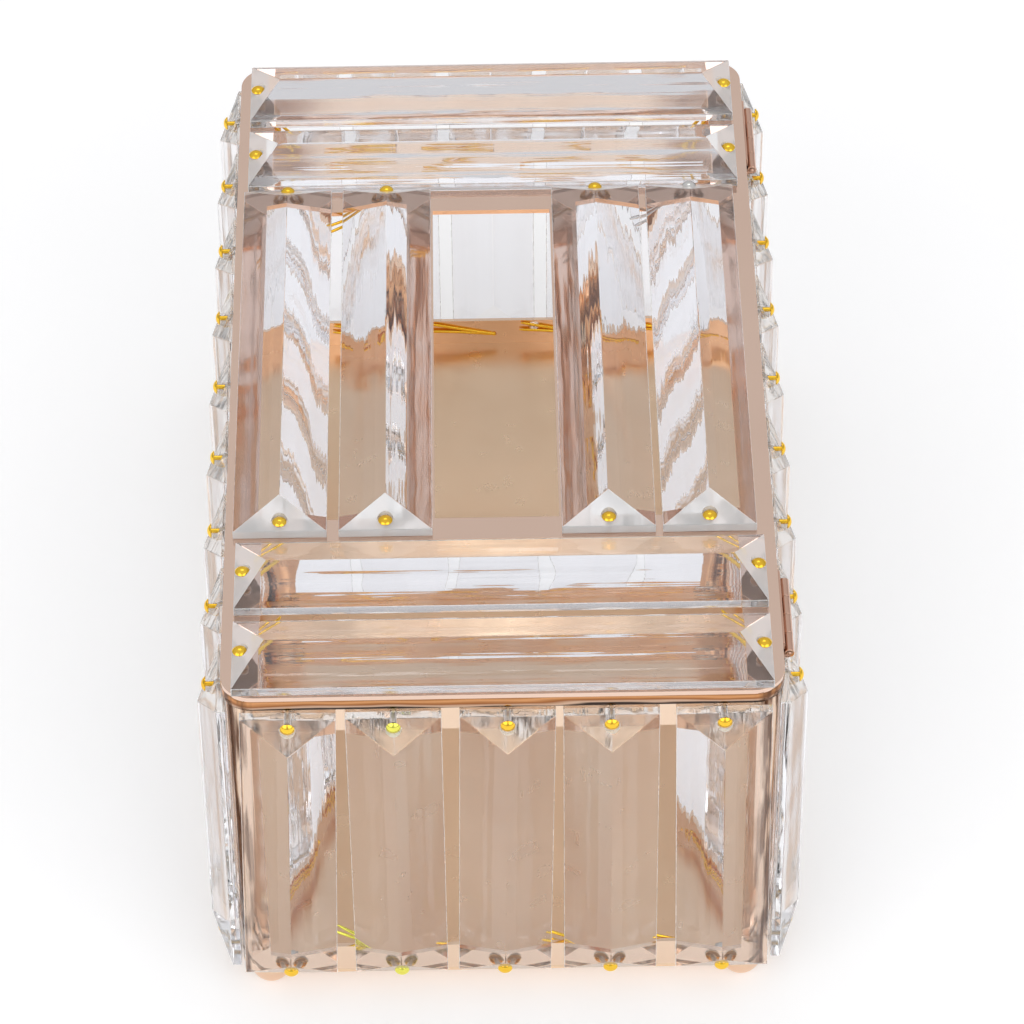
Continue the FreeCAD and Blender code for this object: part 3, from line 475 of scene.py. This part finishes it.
def crystal_template(length, width):
    """Hip-roofed prism with ground edges, in local axes: X across, Y outward, Z along."""
    bm = bmesh.new()
    half_width, half_length = width / 2, length / 2
    outline = ((-half_width, -half_length), (half_width, -half_length),
               (half_width, half_length), (-half_width, half_length))
    low = [bm.verts.new((x, AIR_GAP, z)) for x, z in outline]
    high = [bm.verts.new((vertex.co.x, PLINTH, vertex.co.z)) for vertex in low]
    ridge = [bm.verts.new((0, CROWN, side * (half_length - HIP))) for side in (-1, 1)]
    bm.faces.new(low)
    for step in range(4):
        after = (step + 1) % 4
        bm.faces.new((low[step], low[after], high[after], high[step]))
    bm.faces.new((high[0], high[1], ridge[0]))
    bm.faces.new((high[2], high[3], ridge[1]))
    bm.faces.new((high[1], high[2], ridge[1], ridge[0]))
    bm.faces.new((high[3], high[0], ridge[0], ridge[1]))
    bmesh.ops.bevel(bm, geom=bm.edges[:], offset=EDGE_GRIND, segments=2, affect="EDGES", profile=0.5)
    bmesh.ops.recalc_face_normals(bm, faces=bm.faces)
    mesh = drilled(bm, length)
    for material in (CRYSTALS[2], FROSTED, MILKY_LID):
        mesh.materials.append(material)
    for face in mesh.polygons:
        corners = [mesh.vertices[index].co for index in face.vertices]
        reach = max(math.hypot(co.x, abs(co.z) - half_length + HOLE_INSET) for co in corners)
        side_edge = abs(face.center.x) > half_width - 2 * EDGE_GRIND and 0.1 < abs(face.normal.x) < 0.95
        face.material_index = 2 if abs(face.normal.z) > 0.3 else 0
        if reach < SEAT_RADIUS * 1.02 or (side_edge and face.area < 2 * EDGE_GRIND * length):
            face.material_index = 1
    return mesh


TEMPLATES = {}


def build_crystal(bar, body):
    """A ground glass copy of one CAD bar."""
    key = (round(bar.length / MM, 1), round(bar.width / MM, 1))
    if key not in TEMPLATES:
        TEMPLATES[key] = crystal_template(bar.length, bar.width)
    mesh = TEMPLATES[key].copy()
    mesh.name = bar.name + "_prism"
    run = [abs(share) for share in bar.along]
    mesh.materials[0] = CRYSTALS[run.index(max(run))]
    mesh.materials[2] = MILKY_LID if body == "lid" else MILKY_WALL
    mesh.transform(local_frame(bar.centre, bar.across, bar.outward, bar.along))
    piece = bpy.data.objects.new(bar.name + "_prism", mesh)
    bpy.context.scene.collection.objects.link(piece)
    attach(piece, body)
    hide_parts(bar.name)


def read_bars(prefix, count, outward, upward):
    """The bars of one wall or group, in the order of their numbers."""
    return [read_bar(f"{prefix}_{number}", outward, upward) for number in range(1, count + 1)]


FRONT_BARS = read_bars("front_crystal", 5, -Y, Z)
BACK_BARS = read_bars("back_crystal", 5, Y, Z)
LEFT_BARS = read_bars("left_crystal", 9, -X, Z)
RIGHT_BARS = read_bars("right_crystal", 9, X, Z)
LENGTHWISE_BARS = read_bars("lid_lengthwise_crystal", 4, Z, Y)
CROSSWISE_BARS = read_bars("lid_crosswise_crystal", 4, Z, X)


# ---------------------------------------------------------------- split pins
PIN_METALS = [PIN_GOLD, PIN_LIME, PIN_NICKEL]
GOLD, LIME, NICKEL = range(3)


def add_split_pin(bm, place, outward, towards, rise, sheet, stand, material, leg_length=LEG_LENGTH):
    """Domed head and shaft through crystal and sheet, then two flat legs bent over behind the sheet."""
    across = outward.cross(towards)
    matrix = local_frame(place, towards, across, outward)
    under_head = SEAT_HEIGHT + stand + HEAD_LIFT
    dome_radius = (HEAD_RADIUS ** 2 + HEAD_DOME ** 2) / (2 * HEAD_DOME)
    sweep = math.asin(HEAD_RADIUS / dome_radius)
    profile = [(0, under_head), (HEAD_RADIUS - HEAD_UNDERCUT, under_head),
               (HEAD_RADIUS, under_head + HEAD_UNDERCUT),
               (HEAD_RADIUS, under_head + HEAD_RIM - HEAD_SHOULDER)]
    for step in range(1, DOME_STEPS + 1):
        angle = sweep * (1 - step / DOME_STEPS)
        radius = dome_radius * math.sin(angle) * DOME_SHARE
        height = under_head + HEAD_RIM + HEAD_DOME - dome_radius * (1 - math.cos(angle))
        profile.append((radius if step < DOME_STEPS else 0, height))
    add_lathe(bm, profile, matrix, ROUND_STEPS, material)
    depth = sheet + LEG_THICKNESS / 2
    shaft_top = under_head + SHAFT_IN_HEAD
    shaft = [(0, shaft_top), (SHAFT_RADIUS, shaft_top), (SHAFT_RADIUS, -depth),
             (SHAFT_RADIUS * 0.6, -depth - LEG_THICKNESS * 0.45), (0, -depth - LEG_THICKNESS * 0.5)]
    add_lathe(bm, shaft, matrix, SHAFT_STEPS, material)
    for side in (-1, 1):
        play = random.uniform(-LEG_SPREAD_PLAY, LEG_SPREAD_PLAY)
        angle = math.radians(rise + side * (LEG_SPREAD + play))
        heading = (towards * math.cos(angle) + across * math.sin(angle)).normalized()
        sag = random.uniform(*LEG_SAG) * MM
        curl = random.uniform(-LEG_CURL, LEG_CURL) * MM
        sideways = outward.cross(heading)
        points, sizes = [], []
        for step in range(LEG_STEPS + 1):
            share = step / LEG_STEPS
            reach = LEG_ROOT + (leg_length - LEG_ROOT) * share
            lift = -depth - sag * share ** 2
            if step == 0:
                lift = -depth + LEG_TUCK
            bow = sideways * curl * math.sin(math.pi * share)
            points.append(place + heading * reach + outward * lift + bow)
            taper = 1.0 if share < LEG_TIP_START else 1.0 - LEG_TIP_TAPER * (share - LEG_TIP_START)
            sizes.append((LEG_WIDTH / 2 * taper, LEG_THICKNESS / 2 * min(1.0, taper * 1.2)))
        add_tube(bm, points, sizes, outward, material)


def wall_pins(name, node_name, bars, towards, lower_rises, stand, odd=None):
    """Pins of one wall: the upper legs fall away from the lid and the lower ones rise."""
    bm = bmesh.new()
    low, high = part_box("body_frame")
    reach = (Vector(high) if towards.dot(X + Y) > 0 else Vector(low)).dot(towards) - LEG_CORNER_ROOM
    for index, bar in enumerate(bars):
        sense = 1 if bar.outward.cross(towards).z > 0 else -1
        for upper in (True, False):
            place = bar.centre + bar.along * (bar.length / 2 - HOLE_INSET) * (1 if upper else -1)
            rise = -LEG_RISE if upper else lower_rises[index % len(lower_rises)]
            leg = min(LEG_LENGTH, reach - place.dot(towards))
            material = (odd or {}).get(index, GOLD)
            add_split_pin(bm, place, bar.outward, towards, sense * rise, WALL_SHEET, stand, material, leg)
    finish_piece(name, bm, PIN_METALS, "body", [node_name])


def lid_pins():
    """Pins of the lid: a pair of lengthwise bars bends its legs together, the ends bend theirs inward."""
    bm = bmesh.new()
    for index, bar in enumerate(LENGTHWISE_BARS):
        front, back = LEGS_TO_RIGHT if index in (0, 2) else LEGS_TO_LEFT
        for side, heading in ((-1, front), (1, back)):
            towards = Matrix.Rotation(math.radians(heading), 3, "Z") @ X
            place = bar.centre + bar.along * (bar.length / 2 - HOLE_INSET) * side
            metal = NICKEL if index == 3 and side == 1 else GOLD
            add_split_pin(bm, place, Z, towards, 0.0, LID_SHEET, 0.0, metal)
    for index, bar in enumerate(CROSSWISE_BARS):
        slant = STRIP_LEG_SLANT if index < 2 else -STRIP_LEG_SLANT
        for side, heading in ((-1, slant), (1, 180.0 - slant)):
            towards = Matrix.Rotation(math.radians(heading), 3, "Z") @ X
            place = bar.centre + bar.along * (bar.length / 2 - HOLE_INSET) * side
            add_split_pin(bm, place, Z, towards, 0.0, LID_SHEET, 0.0, GOLD)
    finish_piece("lid_split_pins", bm, PIN_METALS, "lid", ["lid_pins"])


# ---------------------------------------------------------------- feet, hinges, small metal
def build_foot(name):
    """Turned ball foot with a small neck ring under the floor plate."""
    low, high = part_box(name)
    centre = (low + high) / 2
    radius = (high.x - low.x) / 2
    height = high.z - low.z
    ball_height = radius - FOOT_FLAT
    profile = [(0, 0)]
    start = -math.asin(ball_height / radius)
    end = math.asin((height - FOOT_NECK - ball_height) / radius)
    for step in range(FOOT_ARC_STEPS + 1):
        angle = start + (end - start) * step / FOOT_ARC_STEPS
        profile.append((radius * math.cos(angle), ball_height + radius * math.sin(angle)))
    neck = profile[-1][0]
    profile.append((neck + NECK_STEP, height - NECK_BASE))
    profile.append((neck + NECK_STEP, height - NECK_EDGE))
    profile.append((neck - NECK_STEP, height - NECK_CLEARANCE))
    profile.append((0, height - NECK_CLEARANCE))
    bm = bmesh.new()
    add_lathe(bm, profile, Matrix.Translation((centre.x, centre.y, low.z)), FOOT_ROUND_STEPS)
    finish_piece(name + "_ball", bm, [FOOT_METAL], "body", [name], FOOT_SMOOTH_BELOW)


def add_knuckle(bm, centre, start, length, seam):
    """Sheet rolled round the pin, open by a narrow seam at the given angle in degrees."""
    inner = KNUCKLE_RADIUS - HINGE_SHEET
    rings = []
    for y in (start, start + KNUCKLE_SOFT, start + length - KNUCKLE_SOFT, start + length):
        soft = KNUCKLE_SOFT if y in (start, start + length) else 0.0
        ring = []
        for radius in (KNUCKLE_RADIUS - soft, inner + soft):
            line = []
            for step in range(KNUCKLE_STEPS + 1):
                turn = (360 - KNUCKLE_SEAM) * step / KNUCKLE_STEPS
                angle = math.radians(seam + KNUCKLE_SEAM / 2 + turn)
                x = centre.x + radius * math.cos(angle)
                z = centre.z + radius * math.sin(angle)
                line.append(bm.verts.new((x, y, z)))
            ring.append(line)
        rings.append(ring)
    for (outer0, inner0), (outer1, inner1) in zip(rings, rings[1:]):
        for step in range(KNUCKLE_STEPS):
            bm.faces.new((outer0[step], outer0[step + 1], outer1[step + 1], outer1[step]))
            bm.faces.new((inner0[step], inner1[step], inner1[step + 1], inner0[step + 1]))
        for end in (0, KNUCKLE_STEPS):
            bm.faces.new((outer0[end], outer1[end], inner1[end], inner0[end]))
    for outer, inside in (rings[0], rings[-1]):
        for step in range(KNUCKLE_STEPS):
            bm.faces.new((outer[step], inside[step], inside[step + 1], outer[step + 1]))


def build_hinge(side):
    """Four-knuckle hinge: body leaf with its web and flange, lid leaf plate, and the pin."""
    pin_low, pin_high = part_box(f"{side}_hinge_pin")
    centre = (pin_low + pin_high) / 2
    body_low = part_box(f"{side}_hinge_body_leaf")[0]
    lid_low, lid_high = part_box(f"{side}_hinge_lid_leaf")
    start = body_low.y
    pitch = (lid_high.y - body_low.y + KNUCKLE_GAP) / 4
    length = pitch - KNUCKLE_GAP
    web_low = centre.z - KNUCKLE_RADIUS
    web_high = web_low + HINGE_SHEET
    web_end = centre.x - KNUCKLE_RADIUS - LEAF_NOTCH
    leaf_end = start + 4 * pitch - KNUCKLE_GAP

    bm = bmesh.new()
    add_block(bm, (body_low.x, start, web_low), (web_end, leaf_end, web_high))
    add_block(bm, (body_low.x, start, body_low.z), (body_low.x + HINGE_SHEET, leaf_end, web_low))
    for index in BODY_KNUCKLES:
        low_y = start + index * pitch
        add_block(bm, (web_end, low_y, web_low), (centre.x, low_y + length, web_high))
    bmesh.ops.remove_doubles(bm, verts=bm.verts, dist=WELD_DISTANCE)
    sharp = [edge for edge in bm.edges if len(edge.link_faces) == 2 and edge.calc_face_angle() > 1]
    bmesh.ops.bevel(bm, geom=sharp, offset=LEAF_EDGE, segments=1, affect="EDGES")
    for index in BODY_KNUCKLES:
        add_knuckle(bm, centre, start + index * pitch, length, BODY_SEAM_AT)
    finish_piece(f"{side}_hinge_body_leaf_rolled", bm, [HINGE_METAL], "body",
                 [f"{side}_hinge_body_leaf"])

    bm = bmesh.new()
    plate_low = centre.z + KNUCKLE_RADIUS + LEAF_NOTCH
    add_block(bm, (lid_low.x, start, plate_low), (lid_low.x + HINGE_SHEET, leaf_end, lid_high.z))
    for index in LID_KNUCKLES:
        low_y = start + index * pitch
        add_block(bm, (lid_low.x, low_y, centre.z), (lid_low.x + HINGE_SHEET, low_y + length, plate_low))
    bmesh.ops.bevel(bm, geom=bm.edges[:], offset=LEAF_EDGE, segments=1, affect="EDGES")
    for index in LID_KNUCKLES:
        add_knuckle(bm, centre, start + index * pitch, length, LID_SEAM_AT)
    finish_piece(f"{side}_hinge_lid_leaf_rolled", bm, [HINGE_METAL], "lid",
                 [f"{side}_hinge_lid_leaf"])

    bm = bmesh.new()
    radius = (pin_high.x - pin_low.x) / 2
    span = pin_high.y - pin_low.y
    profile = [(0, 0), (radius * 0.7, HINGE_PIN_END), (radius, HINGE_PIN_CROWN),
               (radius, span - HINGE_PIN_CROWN), (radius * 0.7, span - HINGE_PIN_END), (0, span)]
    place = local_frame(Vector((centre.x, pin_low.y, centre.z)), Z, X, Y)
    add_lathe(bm, profile, place, HINGE_PIN_STEPS)
    finish_piece(f"{side}_hinge_pin_turned", bm, [HINGE_METAL], "body", [f"{side}_hinge_pin"])


def build_burr():
    """Raised lip that the punch left round the spare hole, inside the back wall."""
    inner_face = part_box("body_frame")[1].y - WALL_SHEET
    place = local_frame(Vector((SPARE_HOLE[0], inner_face, SPARE_HOLE[1])), X, Z, -Y)
    bm = bmesh.new()
    profile = [(SPARE_HOLE_RADIUS, 0), (SPARE_HOLE_RADIUS, 0.28 * MM), (1.12 * MM, 0.38 * MM),
               (1.32 * MM, 0.22 * MM), (1.5 * MM, 0), (SPARE_HOLE_RADIUS, 0)]
    add_lathe(bm, profile, place, ROUND_STEPS)
    bmesh.ops.remove_doubles(bm, verts=bm.verts, dist=WELD_DISTANCE)
    finish_piece("spare_hole_burr", bm, [BODY_METAL], "body", ())


# ---------------------------------------------------------------- build the object
for bars, body in ((FRONT_BARS, "body"), (BACK_BARS, "body"), (LEFT_BARS, "body"), (RIGHT_BARS, "body"),
                   (LENGTHWISE_BARS, "lid"), (CROSSWISE_BARS, "lid")):
    for bar in bars:
        build_crystal(bar, body)
wall_pins("front_split_pins", "front_pins", FRONT_BARS, -X, FRONT_LEG_RISES, 0.0, {1: LIME})
wall_pins("back_split_pins", "back_pins", BACK_BARS, -X, (LEG_RISE,), 0.0)
wall_pins("left_split_pins", "left_pins", LEFT_BARS, -Y, (LEG_RISE,), SIDE_STAND)
wall_pins("right_split_pins", "right_pins", RIGHT_BARS, -Y, (LEG_RISE,), SIDE_STAND)
lid_pins()
for foot in ("front_left_foot", "front_right_foot", "back_left_foot", "back_right_foot"):
    build_foot(foot)
for side in ("front", "back"):
    build_hinge(side)
build_burr()
dress_cad("body_frame", BODY_METAL, 0.12 * MM)
dress_cad("lid_plate", POLISHED, 0.25 * MM)
dress_cad("lid_rim", RIM_METAL, 0.12 * MM)
dress_cad("floor_panel", SATIN, 0.12 * MM)
dress_cad("foot_screws", SCREW_STEEL, 0.06 * MM)


# ---------------------------------------------------------------- stage, light and camera
FLOOR_TONES = [(0.3, (0.86, 0.86, 0.86)), (0.7, (0.88, 0.88, 0.88))]
FLOOR_GLOW = 0.27
FLOOR_HALF_SIZE = 2.5
SKY_TONES = [(0.0, (0.45, 0.45, 0.46)), (0.35, (0.66, 0.66, 0.68)),
             (0.75, (0.74, 0.74, 0.75)), (0.95, (0.78, 0.78, 0.79))]
SKY_STRENGTH = 0.95
SOFTBOX_SIZE, SOFTBOX_POWER = (1.7, 1.7), 12.0
STRIP_SIZE, STRIP_POWER = (0.50, 0.22), 0.75
LENS = 176.65
CAMERA_PLACE = (-4.124 * MM, -883.193 * MM, 894.125 * MM)
CAMERA_YAW, CAMERA_PITCH, CAMERA_ROLL = -0.4846, 46.2571, -0.5956


def build_floor():
    """Pale floor that glows a little, so that it stays white in the photo's manner."""
    material, tree, shader = new_material("studio_floor")
    tone = noise(tree, object_coordinates(tree), 3.0, 2.0)
    tree.links.new(ramp(tree, tone, FLOOR_TONES), shader.inputs["Base Color"])
    shader.inputs["Roughness"].default_value = 0.7
    shader.inputs["Emission Color"].default_value = (1, 1, 1, 1)
    shader.inputs["Emission Strength"].default_value = FLOOR_GLOW
    bm = bmesh.new()
    bmesh.ops.create_grid(bm, x_segments=4, y_segments=4, size=FLOOR_HALF_SIZE)
    mesh = bpy.data.meshes.new("studio_floor")
    bm.to_mesh(mesh)
    bm.free()
    mesh.materials.append(material)
    floor = bpy.data.objects.new("studio_floor", mesh)
    bpy.context.scene.collection.objects.link(floor)


def area_light(name, place, target, size, power):
    """White rectangular lamp that faces its target."""
    data = bpy.data.lights.new(name, "AREA")
    data.shape = "RECTANGLE"
    data.size, data.size_y = size
    data.energy = power
    light = bpy.data.objects.new(name, data)
    light.location = place
    light.rotation_euler = (Vector(target) - Vector(place)).to_track_quat("-Z", "Y").to_euler()
    bpy.context.scene.collection.objects.link(light)


def build_world():
    """Grey studio that brightens towards the ceiling."""
    world = bpy.data.worlds.new("studio")
    bpy.context.scene.world = world
    world.use_nodes = True
    tree = world.node_tree
    back = tree.nodes["Background"]
    coordinate = tree.nodes.new("ShaderNodeTexCoord")
    split = tree.nodes.new("ShaderNodeSeparateXYZ")
    tree.links.new(coordinate.outputs["Generated"], split.inputs["Vector"])
    tree.links.new(ramp(tree, split.outputs["Z"], SKY_TONES), back.inputs["Color"])
    back.inputs["Strength"].default_value = SKY_STRENGTH


def build_camera():
    """Long lens from above the front, as a product photographer stands."""
    data = bpy.data.cameras.new("camera")
    data.sensor_width = 36.0
    data.lens = LENS
    data.clip_start = 0.05
    data.clip_end = 20.0
    camera = bpy.data.objects.new("camera", data)
    camera.location = CAMERA_PLACE
    yaw, pitch, roll = (math.radians(angle) for angle in (CAMERA_YAW, CAMERA_PITCH, CAMERA_ROLL))
    turn = Matrix.Rotation(yaw, 3, "Z") @ Matrix.Rotation(pitch, 3, "X") @ Matrix.Rotation(roll, 3, "Z")
    camera.rotation_euler = turn.to_euler()
    bpy.context.scene.collection.objects.link(camera)
    bpy.context.scene.camera = camera


build_floor()
build_world()
area_light("front_left_softbox", (-1.2, -1.6, 1.2), (0, 0, 0.05), SOFTBOX_SIZE, SOFTBOX_POWER)
area_light("front_right_softbox", (1.2, -1.6, 1.2), (0, 0, 0.05), SOFTBOX_SIZE, SOFTBOX_POWER)
area_light("ceiling_strip", (0, 0.306, 1.1), (0, -0.09, 0), STRIP_SIZE, STRIP_POWER)
build_camera()
scene = bpy.context.scene
scene.view_settings.view_transform = "Standard"
scene.cycles.max_bounces = 24
scene.cycles.transmission_bounces = 24
scene.cycles.glossy_bounces = 16
scene.cycles.transparent_max_bounces = 16
scene.cycles.caustics_refractive = True
scene.cycles.caustics_reflective = True
scene.cycles.blur_glossy = 0.5
scene.cycles.sample_clamp_indirect = 2.5
